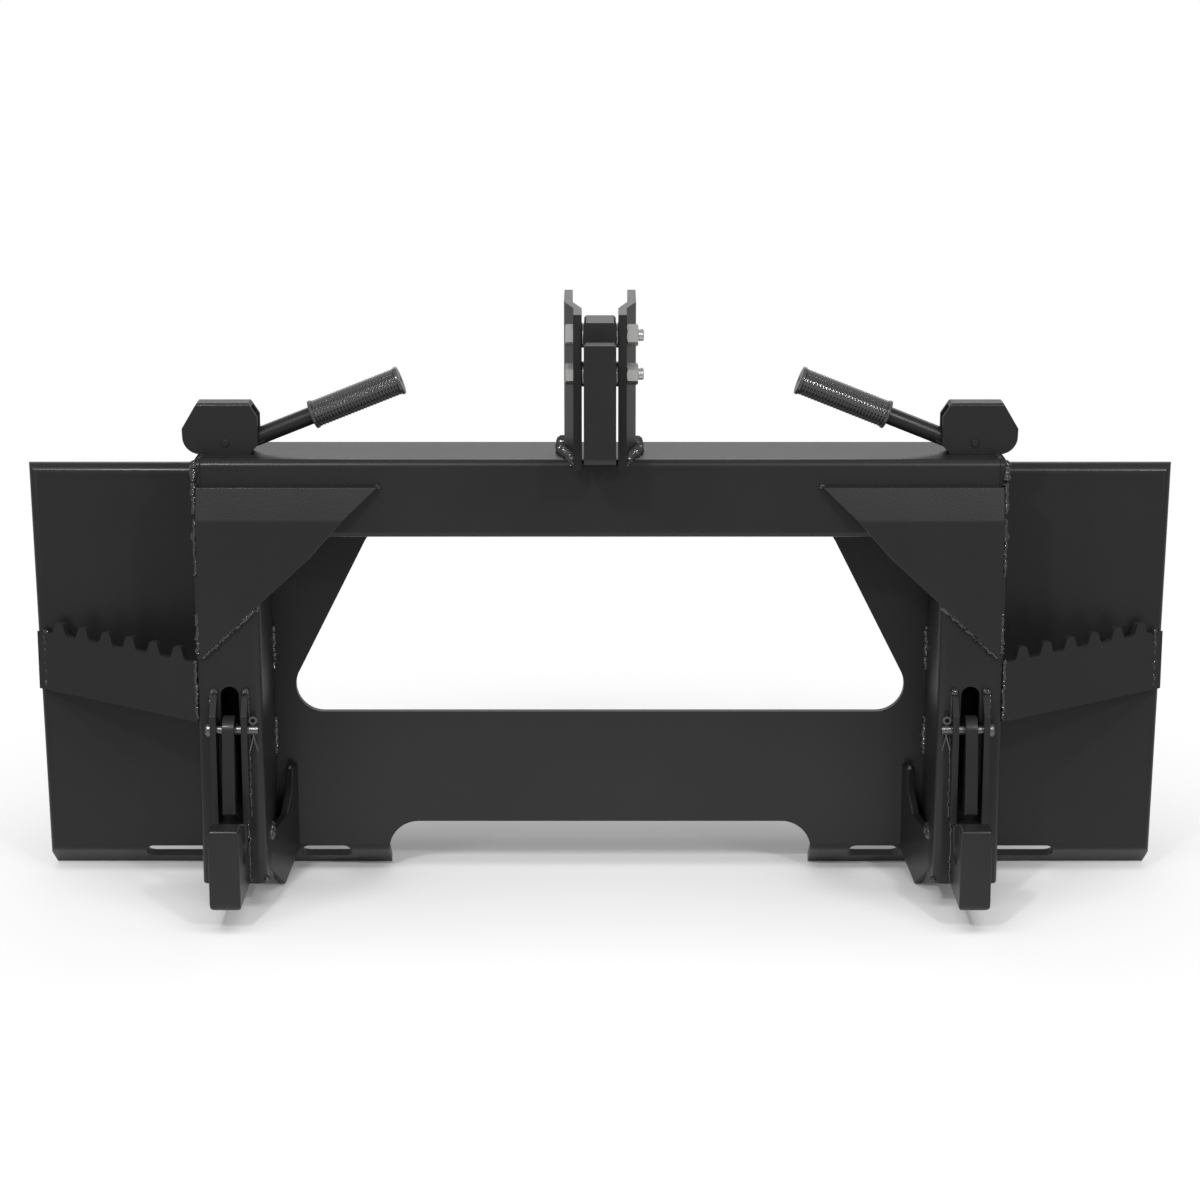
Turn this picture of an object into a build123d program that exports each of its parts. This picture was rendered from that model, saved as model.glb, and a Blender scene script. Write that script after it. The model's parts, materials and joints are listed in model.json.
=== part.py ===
import os
from math import atan2, cos, degrees, hypot, radians, sin, tan

from build123d import *

os.makedirs("parts", exist_ok=True)

# Everything is in millimetres: X along the toolbar, Y away from the implement, Z up.
# A depth is measured forward, towards the implement, from the coupling plate's front face.

# Category 1 hitch points
hook_spacing = 718.0  # between the centres of the two lower hooks
mast_height = 460.0  # lower pin centre to top pin centre
seat_z = 77.5  # lower pin centre
seat_depth = 146.0  # lower and top pin centres
lower_bush_r = 18.3  # bushing on the implement's lower pin
top_bush_r = 15.9  # bushing on the implement's top pin
seat_gap = 0.1

# Lower hooks
hook_thickness = 30.0
hook_reach = 190.0
hook_bottom_z = 23.0
hook_tip_z = 105.0
hook_back_z = 92.0
hook_nose_r = 10.0
hook_edge_r = 5.0
hook_chamfer = 2.0

# Coupling plate, formed from sheet
plate_top_width = 1132.0
plate_foot_width = 1120.0
plate_top_z = 424.5
sheet = 8.0
flange_reach = 45.0
flange_angle = 45.0  # of the top flange, below level
top_bend_r = 10.0
foot_bend_r = 12.0
side_bend_r = 9.0
lip_angle = 35.0  # below level
lip_length = 38.0
window_top_z = 362.0
window_foot_z = 170.3
window_top_half = 226.0
window_foot_half = 323.5
window_corner_r = 28.0
cutout_half = 214.5
cutout_top_z = 54.7
cutout_corner_r = 30.0
lock_slot_width = 24.0
lock_slot_corner_r = 8.0
lock_slots = [(430.0, 66.0), (279.0, 51.0)]  # centre from the middle, length
lock_slot_depth = -10.0
lock_slot_z = 19.7
lock_slot_fall = 27.5  # of the slots' axis towards the front, below level

# Toolbar
bar_depth = 101.6
bar_height = 76.2
bar_z = 371.4
bar_wall = 6.0
bar_corner_r = 7.0
bar_half_length = 388.0
end_cap_thickness = 6.0

# Uprights
upright_width = 63.5
upright_depth = 110.0
upright_foot_z = 25.0
upright_wall = 6.0
upright_corner_r = 8.0
upright_outer = 390.75
slot_width = 17.5
slot_foot_z = 98.0
slot_top_z = 225.7

# Corner gussets, formed from sheet
gusset_outer = 386.0
gusset_top_z = 422.5
gusset_bend_z = 389.8
gusset_foot_z = 254.9
gusset_tip = 212.0
gusset_waist = (247.0, 279.3)
gusset_waist_z = 353.7
gusset_bend_r = 5.0

# Serrated steps
step_thickness = 6.0
step_outer = 554.8
step_foot_z = 194.5
step_valley_z = 254.0
step_outer_depth = 2.0
step_fall = 5.0  # over its length, towards the upright
step_inner_depth = 103.0
tooth_pitch = 30.2
tooth_first = 20.0
tooth_count = 6
tooth_height = 12.8
tooth_foot = 17.5
tooth_tip = 8.4
tooth_tip_r = 3.6
valley_r = 4.0

# Foot braces
brace_thickness = 8.0
brace_root = 310.0
brace_profile = [(0, 115), (14, 115), (16, 91), (30, 71), (78, 62), (78, 30), (40, 1), (0, 29)]
brace_turn = 16.0

# Mast
mast_thickness = 8.0
mast_front_gap = 34.5
mast_rear_gap = 53.0
mast_rear_depth = 6.0
mast_bend_depths = (62.0, 92.0)
mast_front_depth = 124.0
mast_rear_top_z = 598.0
mast_front_top_z = 590.0
mast_hang = 5.2
mast_bend_r = 12.0

# Top hook and its bolts
top_hook_thickness = 30.0
top_hook_reach = 184.0
top_hook_back = 78.0
top_hook_tip_z = 569.8
top_hook_top_z = 583.3
top_hook_nose_z = 458.3
bolt_depth = 110.0
bolt_heights = (569.0, 532.0)
bolt_d = 12.0
bolt_hole_d = 13.0
hex_across = 18.0
head_height = 7.5
nut_height = 10.8
bolt_end = 39.5
spacer_d = 24.0

# Latches and their pins
latch_thickness = 12.0
latch_pivot_depth = 118.0
latch_pivot_z = 185.0
latch_eye_r = 14.0
latch_reach = 82.4
latch_toe_front = 25.0  # ahead of the pivot
latch_toe_back = 6.0
latch_arm = 30.0
arm_eye_r = 7.0
cheek_thickness = 6.0
cheek_gap = 24.0
cheek_depth = 127.5
cheek_top_z = 220.7
cheek_shoulder_z = 200.6
pin_d = 10.0
pin_play = 0.05
pin_head_d = 15.0
pin_head_height = 5.0
pin_tail = 10.0
split_wire_r = 1.2
split_hole_r = 1.4
split_eye_r = 3.2
split_leg_share = 0.8  # of one leg's radius in the two halves' together
split_spread = 4.0
split_leg_z = 163.0

# Levers, their housings and their pins
housing_front = 72.0
housing_rear = 46.0
housing_sheet = 4.0
lever_depth = 59.0
pivot_x = 361.0
pivot_z = 458.5
lever_rest = 21.7  # degrees above level
lever_lift = 30.0
lever_bar_d = 17.0
lever_bar_start = (336.0, 460.5)
lever_pin_d = 8.0
grip_start = 63.0
grip_length = 92.5
grip_d = 25.0
grip_flange_d = 28.0
grip_flange = 4.0
grip_wall = 5.0
grip_bevel = 1.0
vent_d = 5.0
hub_sheet = 6.0
hub_depth = 60.5
hub_eye_r = 9.5
crank_eye_r = 5.6
housing_outline = [(387.5, 497.3), (338.0, 497.3), (329.4, 484.0), (329.4, 456.7)]
housing_foot_inner = 337.3
housing_foot_outer = 401.5
housing_lobe = (402.4, 472.4)
housing_lobe_r = 17.0
housing_edge_r = 3.0

# Rods and return springs inside the uprights
rod_d = 6.0
rod_play = 0.3
rod_top_depth = 56.0
rod_bend_r = 4.2
rod_travel = 9.2
rod_jog = (358.0, 323.0)
rod_hole_r = 4.0
spring_foot_z = 250.0
spring_top_z = 310.0
spring_r = 6.5
spring_wire_r = 1.2
spring_turns = 5.0
collar_height = 4.0
collar_d = 16.0
spring_seat_thickness = 4.0
spring_seat_depth = 30.0
spring_seat_corner_r = 2.5

# Worked out from the above
plate_face_y = hook_reach - (hook_reach + flange_reach) / 2
hook_x = hook_spacing / 2
bar_top_z = bar_z + bar_height
seat_r = lower_bush_r + seat_gap
top_seat_r = top_bush_r + seat_gap
top_seat_z = seat_z + mast_height
foot_turn = 90 - lip_angle
foot_bend_z = foot_bend_r * cos(radians(lip_angle)) + lip_length * sin(radians(lip_angle))
top_bend_z = plate_top_z - top_bend_r
mast_front_half = mast_front_gap / 2
mast_outer_half = mast_front_half + mast_thickness
crank_x = rod_travel / 2 / tan(radians(lever_lift / 2))
crank_z = pivot_z - rod_travel / 2
rod_x = pivot_x - crank_x
rod_low_depth = latch_pivot_depth - latch_arm
rod_foot_z = latch_pivot_z - rod_travel / 2
rod_end_x = hook_x + latch_thickness / 2 + 3
pin_r = pin_d / 2
cheek_outer = cheek_gap / 2 + cheek_thickness
past = 2.0  # how far a cut runs beyond the faces that it opens


# Y of what stands a depth in front of the coupling plate.
def at(depth):
    return plate_face_y - depth


# Plane that faces the implement, with X and Z as its sketch axes.
def facing(depth):
    return Plane(origin=(0, at(depth), 0), x_dir=(1, 0, 0), z_dir=(0, -1, 0))


# Plane square to the toolbar that looks to the left, with depth and Z as its sketch axes.
def across(x):
    return Plane(origin=(x, plate_face_y, 0), x_dir=(0, -1, 0), z_dir=(-1, 0, 0))


# The point that lies a distance away from another in a direction.
def away(point, distance, angle):
    return (point[0] + distance * cos(radians(angle)), point[1] + distance * sin(radians(angle)))


def save(piece, name):
    piece.label = name
    export_step(piece, f"parts/{name}.step")


# The left-hand piece as it is made, and its mirror image as the right-hand one.
def save_pair(piece, name):
    save(piece, name + "_left")
    save(mirror(piece, about=Plane.YZ), name + "_right")


# Outline of the coupling plate from the front, narrowed by a distance on each side.
def plate_outline(inset):
    top = plate_top_width / 2 - inset
    foot = plate_foot_width / 2 - inset
    return [(-foot, 0), (foot, 0), (top, plate_top_z), (-top, plate_top_z)]


# Coupling plate: the space that it fills, with the two folded corners rounded
with BuildPart() as plate_blank:
    with BuildSketch(facing(0)):
        Polygon(*plate_outline(0), align=None)
    extrude(amount=-flange_reach)
    folds = plate_blank.edges().group_by(Axis.Y)[0].filter_by(Axis.X, reverse=True)
    fillet(folds, side_bend_r)

# Coupling plate: its side flanges, which close the section between the bends
top_bend = (-top_bend_r, top_bend_z)
foot_bend = (-foot_bend_r, foot_bend_z)
flange_length = (flange_reach - top_bend_r * (1 + sin(radians(flange_angle)))) / cos(radians(flange_angle))
top_tip = away(away(top_bend, top_bend_r, 90 + flange_angle), flange_length, 180 + flange_angle)
lip_tip = away(away(foot_bend, foot_bend_r, -foot_turn), lip_length, 180 + lip_angle)
with BuildPart() as side_flanges:
    add(plate_blank.part)
    with BuildSketch(facing(0)):
        Polygon(*plate_outline(sheet), align=None)
    extrude(amount=-flange_reach, mode=Mode.SUBTRACT)
    with BuildSketch(across(0)):
        with BuildLine():
            foot_edge = CenterArc(foot_bend, foot_bend_r, -foot_turn, foot_turn)
            top_edge = CenterArc(top_bend, top_bend_r, 0, 90 + flange_angle)
            Line(foot_edge @ 1, top_edge @ 0)
            rear_foot = (-flange_reach, (flange_reach + lip_tip[0]) * tan(radians(foot_turn)))
            Polyline(top_edge @ 1, top_tip, rear_foot, lip_tip, foot_edge @ 0)
        make_face()
    extrude(amount=plate_top_width, both=True, mode=Mode.INTERSECT)

# Coupling plate: the bent sheet with its window, bottom cut-out and slots for the lock pins
lock_fall = radians(lock_slot_fall)
lock_plane = Plane(
    origin=(0, at(lock_slot_depth), lock_slot_z),
    x_dir=(1, 0, 0),
    z_dir=(0, -cos(lock_fall), -sin(lock_fall)),
)
with BuildPart() as skid_plate:
    with BuildSketch(across(0)):
        with BuildLine():
            top_outer = CenterArc(top_bend, top_bend_r, 0, 90 + flange_angle)
            top_inner = CenterArc(top_bend, top_bend_r - sheet, 0, 90 + flange_angle)
            foot_outer = CenterArc(foot_bend, foot_bend_r, -foot_turn, foot_turn)
            foot_inner = CenterArc(foot_bend, foot_bend_r - sheet, -foot_turn, foot_turn)
            Line(foot_outer @ 1, top_outer @ 0)
            Line(foot_inner @ 1, top_inner @ 0)
            flange_top = PolarLine(top_outer @ 1, flange_length, 180 + flange_angle)
            flange_under = PolarLine(top_inner @ 1, flange_length, 180 + flange_angle)
            Line(flange_top @ 1, flange_under @ 1)
            lip_under = PolarLine(foot_outer @ 0, lip_length, 180 + lip_angle)
            lip_top = PolarLine(foot_inner @ 0, lip_length, 180 + lip_angle)
            Line(lip_under @ 1, lip_top @ 1)
        make_face()
    extrude(amount=plate_top_width, both=True)
    add(plate_blank.part, mode=Mode.INTERSECT)
    add(side_flanges.part)
    with BuildSketch(facing(0)) as window:
        Polygon(
            (-window_foot_half, window_foot_z),
            (window_foot_half, window_foot_z),
            (window_top_half, window_top_z),
            (-window_top_half, window_top_z),
            align=None,
        )
        fillet(window.vertices(), window_corner_r)
    extrude(amount=sheet + past, both=True, mode=Mode.SUBTRACT)
    with BuildSketch(facing(0)):
        RectangleRounded(2 * cutout_half, 2 * cutout_top_z, cutout_corner_r)
    extrude(amount=flange_reach + past, both=True, mode=Mode.SUBTRACT)
    with BuildSketch(lock_plane):
        for slot_x, slot_length in lock_slots:
            with Locations((-slot_x, 0), (slot_x, 0)):
                RectangleRounded(slot_length, lock_slot_width, lock_slot_corner_r)
    extrude(amount=flange_reach - sheet, both=True, mode=Mode.SUBTRACT)
save(skid_plate.part, "skid_plate")

# Toolbar, a rectangular tube with a hole above and below each rod
bar_inner_r = bar_corner_r - bar_wall
with BuildPart() as toolbar:
    with BuildSketch(across(0)):
        with Locations((bar_depth / 2, bar_z + bar_height / 2)):
            RectangleRounded(bar_depth, bar_height, bar_corner_r)
            RectangleRounded(
                bar_depth - 2 * bar_wall,
                bar_height - 2 * bar_wall,
                bar_inner_r,
                mode=Mode.SUBTRACT,
            )
    extrude(amount=bar_half_length - end_cap_thickness, both=True)
    with BuildSketch(Plane.XY.offset(bar_z - past)):
        with Locations((-rod_x, at(rod_top_depth)), (rod_x, at(rod_top_depth))):
            Circle(rod_hole_r)
    extrude(amount=bar_height + 2 * past, mode=Mode.SUBTRACT)
save(toolbar.part, "toolbar")

with BuildPart() as end_cap:
    with BuildSketch(across(end_cap_thickness - bar_half_length)):
        with Locations((bar_depth / 2, bar_z + bar_height / 2)):
            RectangleRounded(bar_depth, bar_height, bar_corner_r)
    extrude(amount=end_cap_thickness)
save_pair(end_cap.part, "toolbar_end_cap")

# Upright, a rectangular tube under the toolbar with a slot for the latch
upright_x = upright_outer - upright_width / 2
with BuildPart() as upright:
    with BuildSketch(Plane.XY.offset(upright_foot_z)):
        with Locations((-upright_x, at(upright_depth / 2))):
            RectangleRounded(upright_width, upright_depth, upright_corner_r)
            RectangleRounded(
                upright_width - 2 * upright_wall,
                upright_depth - 2 * upright_wall,
                upright_corner_r - upright_wall,
                mode=Mode.SUBTRACT,
            )
    extrude(amount=bar_z - upright_foot_z)
    with BuildSketch(facing(upright_depth - upright_wall - past)):
        with Locations((-hook_x, (slot_foot_z + slot_top_z) / 2)):
            SlotOverall(slot_top_z - slot_foot_z, slot_width, rotation=90)
    extrude(amount=upright_wall + 2 * past, mode=Mode.SUBTRACT)
save_pair(upright.part, "upright")

# Corner gusset, flat on the upright and bent back to reach the toolbar at its top edge
with BuildPart() as gusset:
    with BuildSketch(across(0)):
        with BuildLine():
            FilletPolyline(
                (upright_depth, gusset_foot_z - sheet),
                (upright_depth, gusset_bend_z),
                (bar_depth, gusset_top_z),
                radius=gusset_bend_r,
            )
            offset(amount=sheet, side=Side.RIGHT)
        make_face()
    extrude(amount=bar_half_length)
    with BuildSketch(facing(0)):
        Polygon(
            (-gusset_outer, gusset_top_z),
            (-gusset_outer, gusset_foot_z),
            (-gusset_waist[1], gusset_waist_z),
            (-gusset_waist[0], gusset_bend_z),
            (-gusset_tip, gusset_top_z),
            align=None,
        )
    extrude(amount=hook_reach, mode=Mode.INTERSECT)
save_pair(gusset.part, "corner_gusset")

# Serrated step from the coupling plate's outer end to the upright
step_run = step_outer - upright_outer
step_out = step_inner_depth - step_outer_depth
step_length = hypot(step_run, step_out)
step_plane = Plane(
    origin=(-step_outer, at(step_outer_depth), step_valley_z),
    x_dir=(step_run, -step_out, -step_fall),
    z_dir=(-step_out, -step_run, 0),
)
with BuildPart() as step:
    with BuildSketch(step_plane) as step_side:
        spare = 2 * step_thickness
        step_depth = step_valley_z - step_foot_z
        step_edge = [(-spare, 0)]
        for number in range(tooth_count):
            middle = tooth_first + number * tooth_pitch
            step_edge.append((middle - tooth_foot / 2, 0))
            step_edge.append((middle - tooth_tip / 2, tooth_height))
            step_edge.append((middle + tooth_tip / 2, tooth_height))
            step_edge.append((middle + tooth_foot / 2, 0))
        step_edge.append((step_length + spare, 0))
        step_edge.append((step_length + spare, -step_depth))
        step_edge.append((-spare, -step_depth))
        Polygon(*step_edge, align=None)
        levels = step_side.vertices().group_by(Axis.Y)
        fillet(levels[-1], tooth_tip_r)
        fillet(step_side.vertices().filter_by_position(Axis.Y, -0.1, 0.1), valley_r)
    extrude(amount=step_thickness / 2, both=True)
    with BuildSketch(Plane.XY):
        Polygon(
            (-upright_outer, at(0)),
            (-upright_outer, at(hook_reach)),
            (-plate_top_width, at(hook_reach)),
            (-plate_top_width, at(0)),
            align=None,
        )
    extrude(amount=plate_top_z, mode=Mode.INTERSECT)
save_pair(step.part, "step")

# Foot brace, set across the corner between the upright and the coupling plate
upright_inner = upright_outer - upright_width
brace_lean = radians(brace_turn)
brace_plane = Plane(
    origin=(-brace_root, at(0), 0),
    x_dir=(-sin(brace_lean), -cos(brace_lean), 0),
    z_dir=(-cos(brace_lean), sin(brace_lean), 0),
)
with BuildPart() as foot_brace:
    with BuildSketch(brace_plane):
        Polygon(*[(run - sheet * (run == 0), z) for run, z in brace_profile], align=None)
    extrude(amount=brace_thickness / 2, both=True)
    with BuildSketch(Plane.XY):
        Polygon(
            (-upright_inner, at(0)),
            (-upright_inner, at(hook_reach)),
            (0, at(hook_reach)),
            (0, at(0)),
            align=None,
        )
    extrude(amount=bar_z, mode=Mode.INTERSECT)
save_pair(foot_brace.part, "foot_brace")

# Mast plate, bent twice in plan so that its front half grips the top hook
with BuildPart() as mast_plate:
    with BuildSketch(Plane.XY.offset(bar_top_z - mast_hang)):
        with BuildLine():
            FilletPolyline(
                (-mast_rear_gap / 2, at(mast_rear_depth)),
                (-mast_rear_gap / 2, at(mast_bend_depths[0])),
                (-mast_front_half, at(mast_bend_depths[1])),
                (-mast_front_half, at(mast_front_depth)),
                radius=mast_bend_r,
            )
            offset(amount=mast_thickness, side=Side.RIGHT)
        make_face()
    extrude(amount=mast_rear_top_z - bar_top_z + mast_hang)
    with BuildSketch(across(0)):
        Polygon(
            (mast_rear_depth, bar_top_z),
            (bar_depth, bar_top_z),
            (bar_depth, bar_top_z - mast_hang),
            (mast_front_depth, bar_top_z - mast_hang),
            (mast_front_depth, mast_front_top_z),
            (mast_rear_depth, mast_rear_top_z),
            align=None,
        )
        with Locations(*[(bolt_depth, z) for z in bolt_heights]):
            Circle(bolt_hole_d / 2, mode=Mode.SUBTRACT)
    extrude(amount=mast_rear_gap, mode=Mode.INTERSECT)
save_pair(mast_plate.part, "mast_plate")

# Top hook
with BuildPart() as top_hook:
    with BuildSketch(across(0)) as top_hook_side:
        Polygon(
            (top_hook_back, bar_top_z),
            (top_hook_back, top_hook_top_z),
            (seat_depth - top_seat_r, top_hook_top_z),
            (seat_depth - top_seat_r, top_seat_z),
            (seat_depth + top_seat_r, top_seat_z),
            (seat_depth + top_seat_r, top_hook_tip_z),
            (top_hook_reach, top_hook_tip_z),
            (top_hook_reach, top_hook_nose_z),
            (bar_depth + mast_hang * 4, bar_top_z),
            align=None,
        )
        fillet(top_hook_side.vertices().sort_by(Axis.X)[-2:].sort_by(Axis.Y)[0], hook_nose_r)
        with Locations((seat_depth, top_seat_z)):
            Circle(top_seat_r, mode=Mode.SUBTRACT)
        with Locations(*[(bolt_depth, z) for z in bolt_heights]):
            Circle(bolt_hole_d / 2, mode=Mode.SUBTRACT)
    extrude(amount=top_hook_thickness / 2, both=True)
    for level in (top_hook_tip_z, top_hook_top_z):
        rim = top_hook.faces().filter_by(Axis.Z).filter_by_position(Axis.Z, level - 1, level + 1)
        chamfer(rim.edges().filter_by(Axis.Y), hook_chamfer)
save(top_hook.part, "top_hook")

# Bolts through the mast and the top hook, with their nuts and the spacers beside the hook
bolt_places = [(bolt_depth, z) for z in bolt_heights]
with BuildPart() as bolts:
    with BuildSketch(across(-mast_outer_half)):
        with Locations(*bolt_places):
            RegularPolygon(hex_across / 2, 6, major_radius=False)
    extrude(amount=head_height)
    with BuildSketch(across(-mast_outer_half)):
        with Locations(*bolt_places):
            Circle(bolt_d / 2)
    extrude(amount=-(mast_outer_half + bolt_end))
save(bolts.part, "top_hook_bolts")

with BuildPart() as nuts:
    with BuildSketch(across(mast_outer_half)):
        with Locations(*bolt_places):
            RegularPolygon(hex_across / 2, 6, major_radius=False)
            Circle(bolt_d / 2 + pin_play, mode=Mode.SUBTRACT)
    extrude(amount=-nut_height)
save(nuts.part, "top_hook_nuts")

spacer_thickness = (mast_front_gap - top_hook_thickness) / 2
with BuildPart() as spacers:
    for spacer_x in (-top_hook_thickness / 2, mast_front_half):
        with BuildSketch(across(spacer_x)):
            with Locations(*bolt_places):
                Circle(spacer_d / 2)
                Circle(bolt_hole_d / 2, mode=Mode.SUBTRACT)
        extrude(amount=spacer_thickness)
save(spacers.part, "top_hook_spacers")

# Lower hook, whose mouth opens upwards under the latch
with BuildPart() as lower_hook:
    with BuildSketch(across(-hook_x)) as lower_hook_side:
        Polygon(
            (upright_depth, hook_bottom_z),
            (upright_depth, hook_back_z),
            (seat_depth - seat_r, hook_back_z),
            (seat_depth - seat_r, seat_z),
            (seat_depth + seat_r, seat_z),
            (seat_depth + seat_r, hook_tip_z),
            (hook_reach, hook_tip_z),
            (hook_reach, hook_bottom_z),
            align=None,
        )
        fillet(lower_hook_side.vertices().sort_by(Axis.X)[-2:].sort_by(Axis.Y)[0], hook_nose_r)
        with Locations((seat_depth, seat_z)):
            Circle(seat_r, mode=Mode.SUBTRACT)
    extrude(amount=hook_thickness / 2, both=True)
    with BuildSketch(facing(upright_depth)):
        with Locations((-hook_x, hook_bottom_z + hook_tip_z / 2)):
            RectangleRounded(hook_thickness, hook_tip_z, hook_edge_r)
    extrude(amount=hook_reach, mode=Mode.INTERSECT)
    tip = lower_hook.faces().filter_by(Axis.Z).sort_by(Axis.Z)[-1]
    chamfer(tip.edges(), hook_chamfer)
save_pair(lower_hook.part, "lower_hook")

# Cheek plates that carry the latch on the front of the upright
latch_pivot = (latch_pivot_depth, latch_pivot_z)
with BuildPart() as cheeks:
    for cheek_side in (cheek_outer, -cheek_gap / 2):
        with BuildSketch(across(cheek_side - hook_x)):
            Polygon(
                (upright_depth, hook_back_z),
                (cheek_depth, hook_back_z),
                (cheek_depth, cheek_shoulder_z),
                (upright_depth, cheek_top_z),
                align=None,
            )
            with Locations(latch_pivot):
                Circle(pin_r + pin_play, mode=Mode.SUBTRACT)
        extrude(amount=cheek_thickness)
save_pair(cheeks.part, "cheek_plates")

# Latch: its toe closes the hook's mouth, and its arm reaches back to the rod
rod_r = rod_d / 2
arm_tip = (rod_low_depth, rod_foot_z)
arm_length = hypot(latch_arm, rod_travel / 2)
arm_angle = degrees(atan2(-rod_travel / 2, -latch_arm))
with BuildPart() as latch:
    with BuildSketch(across(-hook_x)):
        with Locations(latch_pivot):
            Circle(latch_reach)
        Polygon(
            (latch_pivot_depth - latch_eye_r, latch_pivot_z),
            (latch_pivot_depth + latch_eye_r, latch_pivot_z),
            (latch_pivot_depth + latch_toe_front, latch_pivot_z - latch_reach),
            (latch_pivot_depth + latch_toe_back, latch_pivot_z - latch_reach),
            align=None,
            mode=Mode.INTERSECT,
        )
        with Locations(latch_pivot):
            Circle(latch_eye_r)
        with BuildSketch(mode=Mode.ADD) as arm:
            with Locations(latch_pivot):
                Circle(latch_eye_r / 2)
            with Locations(arm_tip):
                Circle(arm_eye_r)
            make_hull()
        with Locations(latch_pivot):
            Circle(pin_r + pin_play, mode=Mode.SUBTRACT)
        slot_middle = away(latch_pivot, (arm_length + latch_arm) / 2, arm_angle)
        with Locations(slot_middle):
            SlotCenterToCenter(
                arm_length - latch_arm + rod_play,
                rod_d + 2 * rod_play,
                rotation=arm_angle,
                mode=Mode.SUBTRACT,
            )
    extrude(amount=latch_thickness / 2, both=True)
save_pair(latch.part, "latch")

# Pin that the latch turns on, with a head outside and a cross hole inside
tail_x = cheek_outer + pin_tail - hook_x
split_x = tail_x - pin_tail / 2
with BuildPart() as latch_pin:
    with BuildSketch(across(tail_x)):
        with Locations(latch_pivot):
            Circle(pin_r)
    extrude(amount=2 * cheek_outer + pin_tail)
    with BuildSketch(across(-cheek_outer - hook_x)):
        with Locations(latch_pivot):
            Circle(pin_head_d / 2)
    extrude(amount=pin_head_height)
    chamfer(latch_pin.edges().filter_by(GeomType.CIRCLE).sort_by(Axis.X)[0], pin_head_height / 3)
    with BuildSketch(Plane.XY.offset(latch_pivot_z - pin_d)):
        with Locations((split_x, at(latch_pivot_depth))):
            Circle(split_hole_r)
    extrude(amount=2 * pin_d, mode=Mode.SUBTRACT)
save_pair(latch_pin.part, "latch_pin")

# Split pin: an eye on top, its two halves together in the hole, and the legs spread below
split_y = at(latch_pivot_depth)
split_leg_r = split_wire_r * split_leg_share
eye_z = latch_pivot_z + pin_r + split_wire_r + split_eye_r
leg_top = latch_pivot_z - pin_r - 2 * split_wire_r
with BuildPart() as split_pin:
    with BuildSketch(Plane.XY.offset(leg_top)):
        with Locations((split_x, split_y)):
            Circle(split_wire_r)
    extrude(amount=eye_z - split_eye_r - leg_top)
    with BuildSketch(facing(latch_pivot_depth)):
        with Locations((split_x, eye_z)):
            Circle(split_eye_r + split_leg_r)
            Circle(split_eye_r - split_leg_r, mode=Mode.SUBTRACT)
    extrude(amount=split_leg_r, both=True)
    for spread in (-split_spread, split_spread):
        leg_run = (spread, 0, split_leg_z - leg_top)
        with BuildSketch(Plane(origin=(split_x, split_y, leg_top + split_leg_r), z_dir=leg_run)):
            Circle(split_leg_r)
        extrude(amount=hypot(spread, leg_top - split_leg_z))
save_pair(split_pin.part, "split_pin")

# Lever housing, folded from sheet over the lever
with BuildPart() as housing:
    with BuildSketch(facing(housing_rear)) as housing_front_view:
        Polygon(
            *[(-x, z) for x, z in housing_outline],
            (-housing_foot_inner, bar_top_z),
            (-housing_foot_outer, bar_top_z),
            (-housing_lobe[0], housing_lobe[1]),
            align=None,
        )
        feet = housing_front_view.vertices().group_by(Axis.Y)[0]
        fillet(feet.sort_by(Axis.X)[0], housing_lobe_r)
    extrude(amount=housing_front - housing_rear)
    roof = housing.faces().filter_by(Axis.Z).sort_by(Axis.Z)[-1]
    fillet(roof.edges().filter_by(Axis.X), housing_edge_r)
    roof_z = housing_outline[0][1] - housing_sheet
    with BuildSketch(across(0)):
        with Locations(((housing_front + housing_rear) / 2, (bar_top_z + roof_z) / 2)):
            Rectangle(housing_front - housing_rear - 2 * housing_sheet, roof_z - bar_top_z)
    extrude(amount=plate_top_width, mode=Mode.SUBTRACT)
    with BuildSketch(facing(housing_rear - past)):
        with Locations((-pivot_x, pivot_z)):
            Circle(lever_pin_d / 2 + pin_play)
    extrude(amount=housing_front - housing_rear + 2 * past, mode=Mode.SUBTRACT)
save_pair(housing.part, "lever_housing")

with BuildPart() as lever_pin:
    with BuildSketch(facing(housing_rear - 1)):
        with Locations((-pivot_x, pivot_z)):
            Circle(lever_pin_d / 2)
    extrude(amount=housing_front - housing_rear + 2)
save_pair(lever_pin.part, "lever_pin")

# Lever: a flat hub with the crank eye, and a round bar for the grip
lever_turn = radians(lever_rest)
bar_plane = Plane(
    origin=(-lever_bar_start[0], at(lever_depth), lever_bar_start[1]),
    x_dir=(0, 1, 0),
    z_dir=(cos(lever_turn), 0, sin(lever_turn)),
)
crank_r = hypot(crank_x, rod_travel / 2)
crank_angle = -lever_lift / 2
lever_pivot = (-pivot_x, pivot_z)
hub_neck = away((-lever_bar_start[0], lever_bar_start[1]), lever_bar_d / 2, lever_rest)
with BuildPart() as lever:
    with BuildSketch(facing(hub_depth)):
        with Locations(lever_pivot):
            Circle(hub_eye_r)
        with Locations(away(lever_pivot, crank_r, crank_angle)):
            Circle(crank_eye_r)
        with Locations(hub_neck):
            Circle(hub_sheet)
        make_hull()
        with Locations(lever_pivot):
            Circle(lever_pin_d / 2 + pin_play, mode=Mode.SUBTRACT)
        with Locations(away(lever_pivot, (crank_r + crank_x) / 2, crank_angle)):
            SlotCenterToCenter(
                crank_r - crank_x + rod_play,
                rod_d + 2 * rod_play,
                rotation=crank_angle,
                mode=Mode.SUBTRACT,
            )
    extrude(amount=hub_sheet)
    with BuildSketch(bar_plane):
        Circle(lever_bar_d / 2)
    extrude(amount=grip_start + grip_length - grip_wall)
save_pair(lever.part, "lever")

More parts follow.
